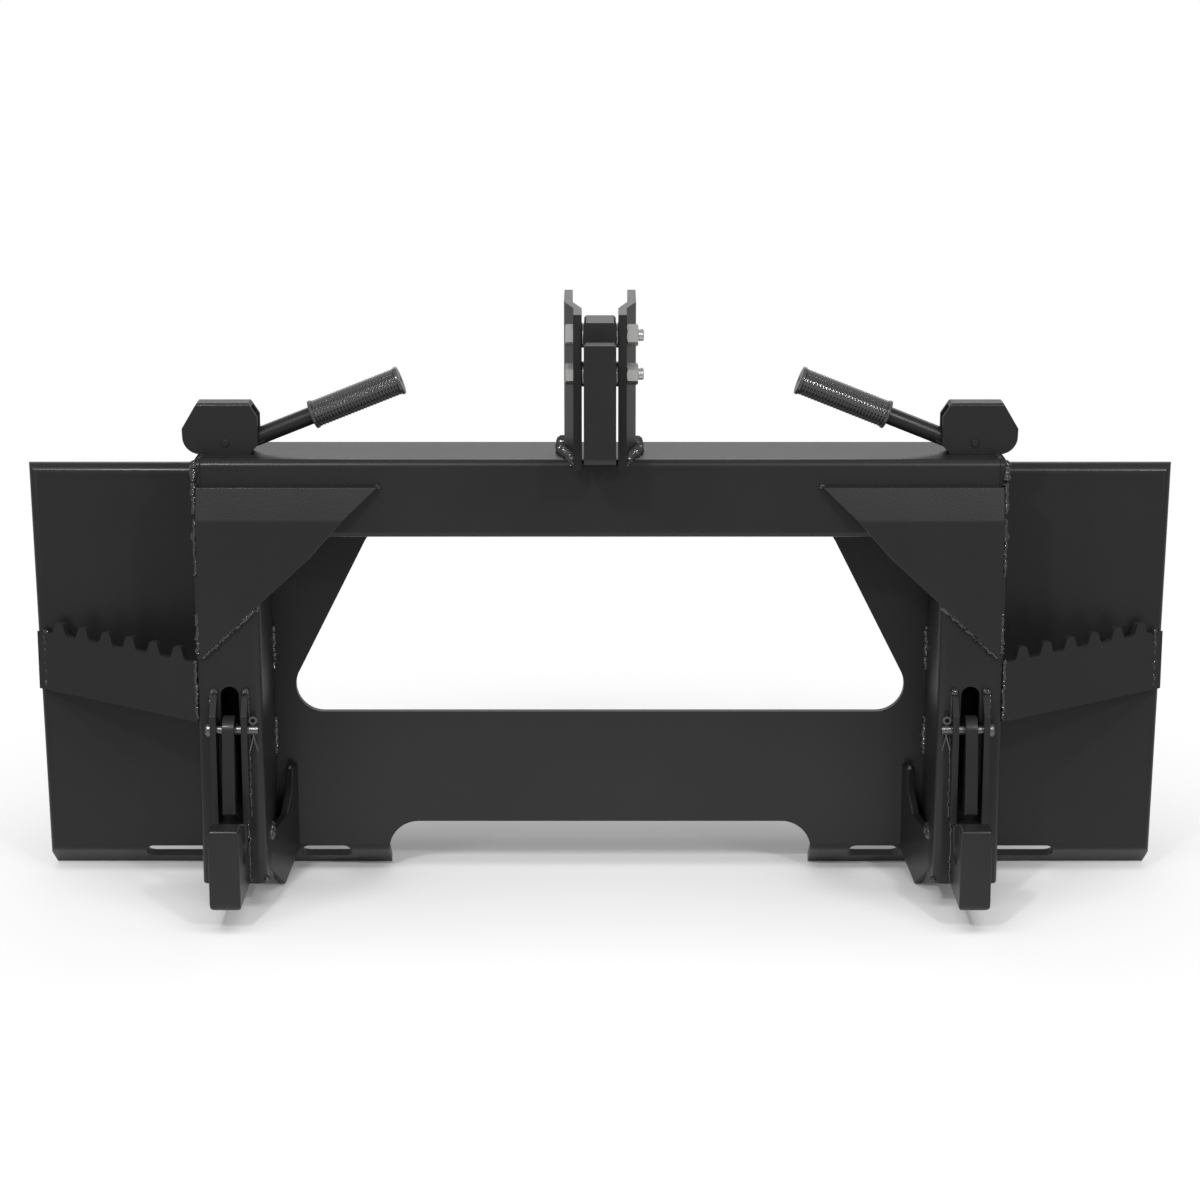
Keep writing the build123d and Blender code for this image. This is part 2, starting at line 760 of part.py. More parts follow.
# Rubber grip with a flange at each end and a vent hole in its end
grip_plane = bar_plane.offset(grip_start)
with BuildPart() as grip:
    with BuildSketch(grip_plane):
        Circle(grip_d / 2)
    extrude(amount=grip_length)
    for flange_start in (0, grip_length - grip_flange):
        with BuildSketch(grip_plane.offset(flange_start)):
            Circle(grip_flange_d / 2)
        extrude(amount=grip_flange)
    chamfer(grip.edges().filter_by(GeomType.CIRCLE).sort_by(SortBy.RADIUS)[-4:], grip_bevel)
    with BuildSketch(grip_plane):
        Circle(lever_bar_d / 2 + pin_play)
    extrude(amount=grip_length - grip_wall, mode=Mode.SUBTRACT)
    with BuildSketch(grip_plane):
        Circle(vent_d / 2)
    extrude(amount=grip_length, mode=Mode.SUBTRACT)
save_pair(grip.part, "grip")

# Rod from the lever's crank down inside the upright to the latch's arm
rod_top_end = housing_front - housing_sheet - 0.5
with BuildPart() as link_rod:
    with BuildLine() as rod_path:
        FilletPolyline(
            (-rod_x, at(rod_top_end), crank_z),
            (-rod_x, at(rod_top_depth), crank_z),
            (-rod_x, at(rod_top_depth), rod_jog[0]),
            (-rod_x, at(rod_low_depth), rod_jog[1]),
            (-rod_x, at(rod_low_depth), rod_foot_z),
            (-rod_end_x, at(rod_low_depth), rod_foot_z),
            radius=rod_bend_r,
        )
    with BuildSketch(Plane(origin=rod_path.line @ 0, z_dir=rod_path.line % 0)):
        Circle(rod_r)
    sweep(path=rod_path.line)
save_pair(link_rod.part, "link_rod")

collar_z = spring_foot_z - collar_height
with BuildPart() as rod_collar:
    with BuildSketch(Plane.XY.offset(collar_z)):
        with Locations((-rod_x, at(rod_low_depth))):
            Circle(collar_d / 2)
            Circle(rod_r + pin_play, mode=Mode.SUBTRACT)
    extrude(amount=collar_height)
save_pair(rod_collar.part, "rod_collar")

# Return spring, squeezed between the collar and the seat as the rod rises
for spring_side, spring_at in (("left", -rod_x), ("right", rod_x)):
    with BuildPart() as spring:
        with BuildLine() as coil:
            coil_height = spring_top_z - spring_foot_z - 2 * spring_wire_r
            Helix(
                coil_height / spring_turns,
                coil_height,
                spring_r,
                center=(spring_at, at(rod_low_depth), spring_foot_z + spring_wire_r),
            )
        with BuildSketch(Plane(origin=coil.line @ 0, z_dir=coil.line % 0)):
            RegularPolygon(spring_wire_r, 6)
        sweep(path=coil.line, is_frenet=True)
    save(spring.part, "return_spring_" + spring_side)

# Spring seat, welded across the inside of the upright
seat_front_y = at(upright_depth - upright_wall)
with BuildPart() as spring_seat:
    with BuildSketch(Plane.XY.offset(spring_top_z)):
        with Locations((-upright_x, seat_front_y + spring_seat_depth / 2)):
            RectangleRounded(upright_width - 2 * upright_wall, spring_seat_depth, spring_seat_corner_r)
        with Locations((-rod_x, at(rod_low_depth))):
            Circle(rod_hole_r, mode=Mode.SUBTRACT)
    extrude(amount=spring_seat_thickness)
save_pair(spring_seat.part, "spring_seat")
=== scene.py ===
import json
import math

import bmesh
import bpy
import numpy as np
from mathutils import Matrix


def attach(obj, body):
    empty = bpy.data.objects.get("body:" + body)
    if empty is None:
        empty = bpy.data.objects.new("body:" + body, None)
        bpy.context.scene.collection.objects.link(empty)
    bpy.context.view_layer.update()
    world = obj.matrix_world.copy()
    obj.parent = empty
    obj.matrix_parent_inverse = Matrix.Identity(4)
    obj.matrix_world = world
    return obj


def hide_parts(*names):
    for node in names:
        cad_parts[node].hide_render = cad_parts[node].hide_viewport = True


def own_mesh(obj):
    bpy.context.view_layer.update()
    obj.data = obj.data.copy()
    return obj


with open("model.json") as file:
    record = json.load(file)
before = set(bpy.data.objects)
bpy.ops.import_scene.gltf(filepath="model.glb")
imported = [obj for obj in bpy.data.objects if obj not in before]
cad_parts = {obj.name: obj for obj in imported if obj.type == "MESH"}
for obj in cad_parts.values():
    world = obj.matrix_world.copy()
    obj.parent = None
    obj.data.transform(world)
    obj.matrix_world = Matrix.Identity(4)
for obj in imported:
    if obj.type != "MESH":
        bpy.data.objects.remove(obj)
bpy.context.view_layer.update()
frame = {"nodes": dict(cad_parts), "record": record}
random = np.random.default_rng(41)
mm = 0.001
sides = ((-1, "left"), (1, "right"))

# The dictionaries of the pieces hold millimetres and degrees; what is built from them is in metres
hitch = {"plateFaceY": 72.5}


# Y in metres of what stands a depth, in millimetres, in front of the coupling plate
def at(depth):
    return (hitch["plateFaceY"] - depth) * mm


# Angles of the columns around a ring
def ringAngles(columns):
    return np.linspace(0, 2 * math.pi, columns, endpoint=False)


# Directions of those angles between two unit vectors
def ringAround(angle, side, other):
    return np.cos(angle)[:, None] * side + np.sin(angle)[:, None] * other


# A mesh object from whole arrays; it keeps its place in its mesh
def makePiece(name, points, faces, material, smooth=True):
    mesh = bpy.data.meshes.new(name)
    mesh.from_pydata(points.reshape(-1, 3).tolist(), [], faces)
    mesh.materials.append(material)
    mesh.polygons.foreach_set("use_smooth", np.full(len(mesh.polygons), smooth))
    tidy = bmesh.new()
    tidy.from_mesh(mesh)
    bmesh.ops.remove_doubles(tidy, verts=tidy.verts, dist=1e-6)
    bmesh.ops.recalc_face_normals(tidy, faces=tidy.faces)
    tidy.to_mesh(mesh)
    tidy.free()
    mesh.update()
    piece = bpy.data.objects.new(name, mesh)
    bpy.context.scene.collection.objects.link(piece)
    return piece


# Faces of a grid whose rows close on themselves, with both ends capped by one polygon
def tubeFaces(rows, columns, first=0):
    row, column = np.meshgrid(np.arange(rows - 1), np.arange(columns), indexing="ij")
    beside = (column + 1) % columns
    quads = np.stack(
        [row * columns + column, row * columns + beside,
         (row + 1) * columns + beside, (row + 1) * columns + column],
        axis=-1,
    ).reshape(-1, 4) + first
    last = first + (rows - 1) * columns
    ends = [list(range(first, first + columns)), list(range(last, last + columns))]
    return quads.tolist() + ends


# Two unit vectors square to a direction
def squareTo(direction):
    steep = abs(direction[2]) >= 0.9
    helper = np.array([1.0, 0.0, 0.0]) if steep else np.array([0.0, 0.0, 1.0])
    side = np.cross(direction, helper)
    side /= np.linalg.norm(side)
    return side, np.cross(side, direction)


# Rings about an axis: each ring j of point i lies radius[i, j] from start + along[i] * direction
def turnedGrid(start, direction, along, radius):
    around = ringAround(ringAngles(radius.shape[1]), *squareTo(direction))
    spine = np.asarray(start) + along[:, None] * np.asarray(direction)
    return spine[:, None, :] + radius[:, :, None] * around


print("materials")
coatNoise = {
    "wideScale": 9.0, "wideDetail": 6.0, "peelDetail": 2.0, "peelDistance": 0.0004,
    "speckScale": 1400.0, "speckDetail": 1.0, "speckFrom": 0.66, "speckTo": 0.74,
    "dustColour": (0.32, 0.31, 0.29, 1.0),
}


def node(tree, kind, **values):
    made = tree.nodes.new(kind)
    for key, value in values.items():
        setattr(made, key, value)
    return made


def addSockets(tree, direction, sockets):
    for label, kind in sockets:
        tree.interface.new_socket(label, in_out=direction, socket_type="NodeSocket" + kind)


# Sprayed finish: a mottled colour, an uneven gloss and a fine orange peel, from noise over the piece
def makeCoatGroup():
    tree = bpy.data.node_groups.new("sprayedCoat", "ShaderNodeTree")
    addSockets(tree, "INPUT", (
        ("Colour", "Color"), ("Mottle", "Float"), ("Gloss", "Float"), ("Gloss Spread", "Float"),
        ("Peel", "Float"), ("Peel Scale", "Float"), ("Dust", "Float"),
    ))
    addSockets(tree, "OUTPUT", (("Colour", "Color"), ("Roughness", "Float"), ("Normal", "Vector")))
    given = node(tree, "NodeGroupInput")
    result = node(tree, "NodeGroupOutput")
    place = node(tree, "ShaderNodeTexCoord")
    wide = node(tree, "ShaderNodeTexNoise")
    wide.inputs["Scale"].default_value = coatNoise["wideScale"]
    wide.inputs["Detail"].default_value = coatNoise["wideDetail"]
    peel = node(tree, "ShaderNodeTexNoise")
    peel.inputs["Detail"].default_value = coatNoise["peelDetail"]
    specks = node(tree, "ShaderNodeTexNoise")
    specks.inputs["Scale"].default_value = coatNoise["speckScale"]
    specks.inputs["Detail"].default_value = coatNoise["speckDetail"]
    for texture in (wide, peel, specks):
        tree.links.new(place.outputs["Object"], texture.inputs["Vector"])
    tree.links.new(given.outputs["Peel Scale"], peel.inputs["Scale"])

    mottle = node(tree, "ShaderNodeMath", operation="MULTIPLY_ADD")
    mottle.inputs[2].default_value = 1.0
    centred = node(tree, "ShaderNodeMath", operation="SUBTRACT")
    centred.inputs[1].default_value = 0.5
    tree.links.new(wide.outputs["Fac"], centred.inputs[0])
    tree.links.new(centred.outputs[0], mottle.inputs[0])
    tree.links.new(given.outputs["Mottle"], mottle.inputs[1])
    tinted = node(tree, "ShaderNodeVectorMath", operation="SCALE")
    tree.links.new(given.outputs["Colour"], tinted.inputs[0])
    tree.links.new(mottle.outputs[0], tinted.inputs["Scale"])

    # Dust lies in specks where the surface looks up
    facing = node(tree, "ShaderNodeNewGeometry")
    upward = node(tree, "ShaderNodeSeparateXYZ")
    tree.links.new(facing.outputs["Normal"], upward.inputs[0])
    speckMask = node(tree, "ShaderNodeMapRange")
    speckMask.inputs["From Min"].default_value = coatNoise["speckFrom"]
    speckMask.inputs["From Max"].default_value = coatNoise["speckTo"]
    tree.links.new(specks.outputs["Fac"], speckMask.inputs["Value"])
    settled = node(tree, "ShaderNodeMath", operation="MULTIPLY", use_clamp=True)
    tree.links.new(speckMask.outputs[0], settled.inputs[0])
    tree.links.new(upward.outputs["Z"], settled.inputs[1])
    amount = node(tree, "ShaderNodeMath", operation="MULTIPLY")
    tree.links.new(settled.outputs[0], amount.inputs[0])
    tree.links.new(given.outputs["Dust"], amount.inputs[1])
    dusted = node(tree, "ShaderNodeMix", data_type="RGBA")
    dusted.inputs[7].default_value = coatNoise["dustColour"]
    tree.links.new(amount.outputs[0], dusted.inputs[0])
    tree.links.new(tinted.outputs[0], dusted.inputs[6])
    tree.links.new(dusted.outputs[2], result.inputs["Colour"])

    gloss = node(tree, "ShaderNodeMath", operation="MULTIPLY_ADD")
    tree.links.new(centred.outputs[0], gloss.inputs[0])
    tree.links.new(given.outputs["Gloss Spread"], gloss.inputs[1])
    tree.links.new(given.outputs["Gloss"], gloss.inputs[2])
    tree.links.new(gloss.outputs[0], result.inputs["Roughness"])
    bump = node(tree, "ShaderNodeBump")
    bump.inputs["Distance"].default_value = coatNoise["peelDistance"]
    tree.links.new(given.outputs["Peel"], bump.inputs["Strength"])
    tree.links.new(peel.outputs["Fac"], bump.inputs["Height"])
    tree.links.new(bump.outputs[0], result.inputs["Normal"])
    return tree


coatGroup = makeCoatGroup()


# A material whose colour, gloss and normal come from the sprayed finish
def coatedMaterial(name, look):
    material = bpy.data.materials.new(name)
    material.use_nodes = True
    tree = material.node_tree
    shader = tree.nodes["Principled BSDF"]
    coat = node(tree, "ShaderNodeGroup", node_tree=coatGroup)
    coat.inputs["Colour"].default_value = (*look["colour"], 1.0)
    for label, key in (
        ("Mottle", "mottle"), ("Gloss", "roughness"), ("Gloss Spread", "roughnessSpread"),
        ("Peel", "peel"), ("Peel Scale", "peelScale"), ("Dust", "dust"),
    ):
        coat.inputs[label].default_value = look[key]
    for given, taken in (("Colour", "Base Color"), ("Roughness", "Roughness"), ("Normal", "Normal")):
        tree.links.new(coat.outputs[given], shader.inputs[taken])
    shader.inputs["Metallic"].default_value = look.get("metallic", 0.0)
    shader.inputs["Specular IOR Level"].default_value = look.get("specular", 0.5)
    shader.inputs["Coat Weight"].default_value = look.get("clearCoat", 0.0)
    shader.inputs["Coat Roughness"].default_value = look.get("clearRoughness", 0.1)
    return material


blackPaint = coatedMaterial("blackPowderCoat", {
    "colour": (0.0112, 0.0112, 0.0117), "mottle": 0.5, "roughness": 0.36, "roughnessSpread": 0.16,
    "peel": 0.22, "peelScale": 420.0, "dust": 0.02, "specular": 0.32,
    "clearCoat": 0.08, "clearRoughness": 0.14,
})
weldPaint = coatedMaterial("paintedWeld", {
    "colour": (0.012, 0.012, 0.0125), "mottle": 0.5, "roughness": 0.20, "roughnessSpread": 0.15,
    "peel": 0.8, "peelScale": 700.0, "dust": 0.02, "specular": 0.7,
    "clearCoat": 0.6, "clearRoughness": 0.06,
})
gripRubber = coatedMaterial("gripRubber", {
    "colour": (0.042, 0.042, 0.042), "mottle": 0.6, "roughness": 0.24, "roughnessSpread": 0.2,
    "peel": 0.1, "peelScale": 1500.0, "dust": 0.03, "specular": 0.6, "clearCoat": 0.3,
})
zincPlate = coatedMaterial("zincPlate", {
    "colour": (0.80, 0.80, 0.78), "mottle": 0.35, "roughness": 0.24, "roughnessSpread": 0.25,
    "peel": 0.25, "peelScale": 2500.0, "dust": 0.05, "metallic": 1.0,
})
drawnSteel = coatedMaterial("drawnSteel", {
    "colour": (0.40, 0.40, 0.41), "mottle": 0.3, "roughness": 0.34, "roughnessSpread": 0.2,
    "peel": 0.2, "peelScale": 1800.0, "dust": 0.1, "metallic": 1.0,
})
darkSteel = coatedMaterial("oiledSteel", {
    "colour": (0.17, 0.17, 0.17), "mottle": 0.4, "roughness": 0.28, "roughnessSpread": 0.25,
    "peel": 0.2, "peelScale": 1800.0, "dust": 0.1, "metallic": 1.0,
})
finishes = {
    "black_paint": blackPaint,
    "grip_rubber": gripRubber,
    "zinc_fasteners": zincPlate,
    "bare_steel": drawnSteel,
}

print("solids")
slotOf = {row["node"]: row["material_slot"] for row in frame["record"]["subparts"]}
edges = {
    "radius": 0.9, "segments": 2, "roundsFrom": 32.0, "mergeDistance": 0.01, "flatWithin": 0.4,
    "rounder": {"lower_hook": 2.2, "top_hook": 0.8, "latch": 1.0, "mast_plate": 1.3},
    "plain": (
        "return_spring", "rod_collar", "link_rod", "split_pin", "latch_pin_",
        "grip", "top_hook_nuts", "top_hook_bolts",
    ),
    "oiled": ("latch_pin", "split_pin"),
}


# Width of the worn edges of a solid, by the start of its name
def edgeWidth(name):
    for start, width in edges["rounder"].items():
        if name == start or name.startswith(start + "_"):
            return width
    return edges["radius"]


for name, solid in frame["nodes"].items():
    solid.data.materials.clear()
    oiled = name.startswith(edges["oiled"])
    solid.data.materials.append(darkSteel if oiled else finishes[slotOf[name]])
    if name.startswith(edges["plain"]):
        continue
    solid.data.polygons.foreach_set("use_smooth", np.ones(len(solid.data.polygons), bool))
    merged = solid.modifiers.new("merged", "WELD")
    merged.merge_threshold = edges["mergeDistance"] * mm
    flat = solid.modifiers.new("flat", "DECIMATE")
    flat.decimate_type = "DISSOLVE"
    flat.angle_limit = math.radians(edges["flatWithin"])
    rounded = solid.modifiers.new("rounded", "BEVEL")
    rounded.width = edgeWidth(name) * mm
    rounded.segments = edges["segments"]
    rounded.limit_method = "ANGLE"
    rounded.angle_limit = math.radians(edges["roundsFrom"])
    # Big faces lead the shading, so that no gradient runs across a flat
    even = solid.modifiers.new("even", "WEIGHTED_NORMAL")
    even.mode = "FACE_AREA_WITH_ANGLE"
    even.weight = 100

print("grips")
grip = {
    "barStart": (336.0, 59.0, 460.5), "rise": 21.7, "start": 63.0, "length": 92.5,
    "outer": 13.2, "groove": 1.8, "flange": 14.0, "flangeLength": 3.4, "bore": 8.55, "vent": 2.5,
    "ribs": 26, "dipSwing": 1.6, "dipRest": 0.3, "strips": 6, "stripHalf": 0.13, "stripFade": 0.05,
    "edge": 0.8, "edgeShare": 0.3, "innerEdge": 0.5, "innerEdgeLength": 0.4,
    "ventEdge": 0.4, "ventDepth": 4.0, "ventTaper": 0.95,
    "columns": 72, "rowsPerRib": 9, "sharpFrom": 48.0,
}


# Points of one grip. Along it the radius is the outer one less the groove where a raised cosine dips between
# the ribs; inside the lengthwise strips the grooves are filled, and a rounded flange closes each end.
def gripGrid(side):
    turn = math.radians(grip["rise"])
    direction = np.array([-side * math.cos(turn), 0.0, math.sin(turn)])
    x, depth, z = grip["barStart"]
    start = np.array([side * x * mm, at(depth), z * mm]) + grip["start"] * mm * direction

    flange, flangeLength, end = grip["flange"], grip["flangeLength"], grip["length"]
    ribbed = np.linspace(flangeLength, end - flangeLength, grip["ribs"] * grip["rowsPerRib"] + 1)
    phase = (ribbed - flangeLength) / (end - 2 * flangeLength) * grip["ribs"]
    wave = 0.5 + 0.5 * np.cos(2 * math.pi * phase)
    dip = np.clip(grip["dipSwing"] * wave - grip["dipRest"], 0.0, 1.0)
    angle = ringAngles(grip["columns"])
    toStrip = np.abs((angle * grip["strips"] / (2 * math.pi) + 0.5) % 1 - 0.5)
    toStrip = toStrip * 2 * math.pi / grip["strips"]
    grooved = np.clip((toStrip - grip["stripHalf"]) / grip["stripFade"], 0.0, 1.0)
    body = grip["outer"] - grip["groove"] * dip[:, None] * grooved[None, :]

    edge, soft, inner = grip["edge"], grip["edgeShare"] * grip["edge"], grip["innerEdge"]
    before = [
        (0.0, grip["bore"]), (0.0, flange - edge), (soft, flange - soft), (edge, flange),
        (flangeLength - inner, flange), (flangeLength - inner + grip["innerEdgeLength"], flange - inner),
    ]
    after = [(end - x, radius) for x, radius in before[::-1][:-1]]
    vent, ventEdge = grip["vent"], grip["ventEdge"]
    after += [
        (end, vent + ventEdge), (end - ventEdge, vent),
        (end - grip["ventDepth"], vent * grip["ventTaper"]),
    ]
    level = np.ones(grip["columns"])
    along = np.concatenate([[x for x, _ in before], ribbed, [x for x, _ in after]])
    radius = np.concatenate([
        np.array([r for _, r in before])[:, None] * level, body,
        np.array([r for _, r in after])[:, None] * level,
    ])
    return turnedGrid(start, direction, along * mm, radius * mm)


for side, label in sides:
    grid = gripGrid(side)
    cover = makePiece("grip_cover_" + label, grid, tubeFaces(*grid.shape[:2]), gripRubber)
    cover.data.set_sharp_from_angle(angle=math.radians(grip["sharpFrom"]))
    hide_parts("grip_" + label)
    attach(cover, "lever_" + label)

print("bolts and nuts")
bolt = {
    "depth": 110.0, "heights": (569.0, 532.0), "headFace": -25.25, "nutFace": 25.25, "end": 41.3,
    "across": 18.0, "head": 7.5, "nut": 10.8, "nutBore": 6.05, "rimShare": 0.97, "slope": 30.0,
    "closedBore": 0.05, "shank": 12.0, "pitch": 1.75, "thread": 0.95, "threadLead": 3.0,
    "rowStep": 0.22, "tip": 0.5, "hexColumns": 96, "shankColumns": 48, "sharpFrom": 28.0,
}


# Rings of a hexagon whose corners are cut by a cone. The wall's radius at an angle is half the width across
# flats over the cosine of the angle from the nearest flat; its rim falls with the slope where it passes the
# cone.
def hexRings(place, height, direction, bothEnds=False, hole=0.0):
    angle = ringAngles(bolt["hexColumns"])
    half = bolt["across"] / 2
    rim = bolt["rimShare"] * half
    wall = half / np.cos((angle + math.pi / 6) % (math.pi / 3) - math.pi / 6)
    fall = np.maximum(wall - rim, 0.0) * math.tan(math.radians(bolt["slope"]))
    none = np.zeros_like(angle)
    flat, inner = none + rim, none + max(hole, bolt["closedBore"])
    rings = [
        (none, inner), (none, flat if bothEnds else wall), (fall if bothEnds else none, wall),
        (height - fall, wall), (none + height, flat), (none + height, inner),
    ]
    around = ringAround(angle, np.array([0.0, 1.0, 0.0]), np.array([0.0, 0.0, 1.0]))
    return np.array([
        np.asarray(place) + (along[:, None] * np.asarray(direction) + radius[:, None] * around) * mm
        for along, radius in rings
    ])


# A round shank whose end carries a thread: the radius drops in a ramp that climbs one pitch in each turn
def shankRings(place, direction, length, threadFrom):
    threaded = np.arange(threadFrom + 0.1, length - bolt["tip"] - 0.1, bolt["rowStep"])
    along = np.concatenate([[0.0, threadFrom], threaded, [length - bolt["tip"], length]])
    turn = np.linspace(0, 1, bolt["shankColumns"], endpoint=False)
    ramp = np.abs(((along[:, None] / bolt["pitch"] + turn[None, :]) % 1) * 2 - 1)
    radius = bolt["shank"] / 2 - np.where(along[:, None] > threadFrom, bolt["thread"] * ramp, 0.0)
    radius[-2] = bolt["shank"] / 2 - bolt["thread"]
    radius[-1] = bolt["shank"] / 2 - bolt["thread"] - bolt["tip"]
    return turnedGrid(place, direction, along * mm, radius * mm)


# One piece from several closed grids
def joined(name, grids, material, sharpFrom):
    faces, points, first = [], [], 0
    for grid in grids:
        faces += tubeFaces(*grid.shape[:2], first=first)
        points.append(grid.reshape(-1, 3))
        first += len(points[-1])
    piece = makePiece(name, np.concatenate(points), faces, material)
    piece.data.set_sharp_from_angle(angle=math.radians(sharpFrom))
    return piece


boltGrids, nutGrids = [], []
for z in bolt["heights"]:
    headPlace = (bolt["headFace"] * mm, at(bolt["depth"]), z * mm)
    nutPlace = (bolt["nutFace"] * mm, at(bolt["depth"]), z * mm)
    threadFrom = bolt["nutFace"] - bolt["headFace"] - bolt["threadLead"]
    boltGrids.append(hexRings(headPlace, bolt["head"], (-1, 0, 0)))
    boltGrids.append(shankRings(headPlace, (1.0, 0.0, 0.0), bolt["end"] - bolt["headFace"], threadFrom))
    nutGrids.append(hexRings(nutPlace, bolt["nut"], (1, 0, 0), True, bolt["nutBore"]))
for name, grids, cad in (("hex_bolts", boltGrids, "top_hook_bolts"), ("hex_nuts", nutGrids, "top_hook_nuts")):
    fasteners = joined(name, grids, zincPlate, bolt["sharpFrom"])
    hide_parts(cad)
    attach(fasteners, "frame")

print("springs")
spring = {
    "x": 343.83, "depth": 88.0, "foot": 250.0, "top": 310.0, "radius": 6.5, "wire": 1.1, "turns": 9.0,
    "closedTurns": 0.9, "closedRise": 1.98, "travel": 9.3, "perTurn": 36, "columns": 12,
}


# A coil spring: its middle line climbs evenly but for the first and last turn, which close up flat, and the
# wire's ring stands square to the line's run around the coil.
def springGrid(side):
    rows = int(spring["turns"] * spring["perTurn"]) + 1
    turn = np.linspace(0, spring["turns"], rows)
    closed, rise = spring["closedTurns"], spring["closedRise"] * spring["wire"]
    low, high = spring["foot"] + spring["wire"], spring["top"] - spring["wire"]
    climb = np.clip((turn - closed) / (spring["turns"] - 2 * closed), 0, 1)
    z = low + np.minimum(turn, closed) / closed * rise + climb * (high - low - 2 * rise)
    z += np.clip(turn - spring["turns"] + closed, 0, closed) / closed * rise
    angle = 2 * math.pi * turn
    out = np.stack([np.cos(angle), np.sin(angle), np.zeros(rows)], axis=1)
    up = np.array([0, 0, 1])
    middle = np.array([side * spring["x"], 0, 0]) + spring["radius"] * out + z[:, None] * up
    around = ringAngles(spring["columns"])[None, :, None]
    ring = np.cos(around) * out[:, None, :] + np.sin(around) * up
    points = (middle[:, None, :] + spring["wire"] * ring) * mm
    points[:, :, 1] += at(spring["depth"])
    return points


for side, label in sides:
    grid = springGrid(side)
    coil = makePiece("coil_spring_" + label, grid, tubeFaces(*grid.shape[:2]), drawnSteel)
    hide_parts("return_spring_" + label)
    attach(coil, "frame")
    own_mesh(coil)

print("welds")
weld = {
    "ripple": 2.3, "rows": 5, "columns": 10, "wander": 0.5, "swell": 0.30, "swellShare": 0.5, "step": 0.22,
    "tip": 0.02, "sharpFrom": 180.0,
}


# A value for each row of a run, passing evenly from one ripple's random draw to the next
def blended(draws, number, within):
    return draws[number] * (1 - within) + draws[number + 1] * within


# One run of weld between two points: a tube along the line whose radius steps up and falls off within each
# ripple, with a swell and a sideways wander that change from ripple to ripple; both ends taper.
def weldRun(start, finish, radius):
    start, finish = np.array(start, float), np.array(finish, float)
    length = np.linalg.norm(finish - start)
    ripples = max(3, int(round(length / (weld["ripple"] * mm))))
    rows = ripples * weld["rows"] + 1
    share = np.linspace(0, 1, rows)
    number = np.minimum((share * ripples).astype(int), ripples - 1)
    within = share * ripples - number
    swell = blended(random.normal(0, weld["swell"], ripples + 1), number, within)
    size = radius * (1 + weld["step"] * (1 - within) ** 2 + swell * weld["swellShare"])
    taper = np.clip(np.minimum(share, 1 - share) * length / radius, 0, 1)
    size = size * np.sqrt(np.clip(1 - (1 - taper) ** 2, weld["tip"], 1))
    direction = (finish - start) / length
    side, other = squareTo(direction)
    drift = blended(random.normal(0, weld["wander"] * mm, (ripples + 1, 2)), number, within[:, None])
    around = ringAround(ringAngles(weld["columns"]), side, other)
    spine = start + share[:, None] * length * direction + drift[:, :1] * side + drift[:, 1:] * other
    return spine[:, None, :] + size[:, None, None] * around


# Runs as (x, depth, z) of both ends, with a radius; those of the left side are mirrored for the right
sideRuns = [
    # Toolbar's end cap
    ((-388.5, 98.0, 447), (-388.5, 102.5, 426), 3.4),
    ((-388.0, 103.0, 426), (-387.5, 109.5, 396), 2.8),
    ((-382.5, 8, 447.2), (-382.5, 94, 447.2), 2.2),
    ((-382.5, 8, 371.8), (-382.5, 94, 371.8), 2.2),
    # Gusset's top edge on the toolbar, its outer edge and its slant on the upright
    ((-215.5, 102.6, 423.5), (-209.5, 102.6, 421.0), 2.4),
    ((-387.5, 111.5, 392), (-387.5, 111.5, 335), 2.0),
    ((-387.0, 111.5, 300), (-387.0, 111.5, 258), 2.6),
    ((-385, 111.5, 255), (-328.5, 111.5, 307.5), 3.0),
    # Upright under the toolbar and on the coupling plate
    ((-391, 12, 371), (-391, 98, 371), 2.8),
    ((-327, 12, 371), (-327, 98, 371), 2.8),
    ((-327.5, 1.5, 126), (-327.5, 1.5, 168), 3.0),
    ((-327.5, 1.5, 214), (-327.5, 1.5, 262), 3.0),
    ((-327.5, 1.5, 312), (-327.5, 1.5, 366), 3.0),
    ((-391, 1.5, 40), (-391, 1.5, 92), 3.0),
    ((-391, 1.5, 130), (-391, 1.5, 186), 3.0),
    ((-391, 1.5, 262), (-391, 1.5, 330), 3.0),
    # Step's ends
    ((-555.3, 3.5, 198), (-555.3, 3.5, 252), 1.4),
    ((-557.0, 4.5, 255.0), (-551.0, 6.5, 255.0), 2.4),
    ((-391.2, 106.0, 192), (-391.2, 106.0, 248), 1.5),
    ((-393.5, 105.0, 250.0), (-389.5, 107.5, 249.5), 2.6),
    ((-391.5, 98.0, 192), (-391.5, 98.0, 248), 2.8),
    # Foot brace on the upright and on the coupling plate
    ((-327.5, 50, 69), (-327.5, 74, 61), 3.8),
    ((-311.5, 8.0, 116.0), (-314.5, 15.0, 114.0), 2.6),
    ((-311, 1.5, 40), (-311, 1.5, 112), 2.8),
    # Hook and cheeks on the front of the upright
    ((-374.5, 111, 27), (-374.5, 111, 90), 3.0),
    ((-343.9, 110.3, 27), (-343.9, 110.3, 90), 1.2),
    ((-377.2, 110.5, 94), (-377.2, 110.5, 219), 1.5),
    ((-340.9, 110.3, 94), (-340.9, 110.3, 219), 1.0),
    ((-378.5, 111, 221.0), (-369.5, 111, 222.0), 3.6),
    ((-348.0, 111, 221.5), (-339.5, 111, 220.5), 3.6),
    ((-329.5, 109.0, 30.0), (-327.0, 103.0, 27.0), 3.2),
    ((-376, 126, 92.2), (-372, 112, 92.2), 1.8),
    # Lever housing on the toolbar
    ((-385, 45.6, 448), (-341, 45.6, 448), 2.4),
]
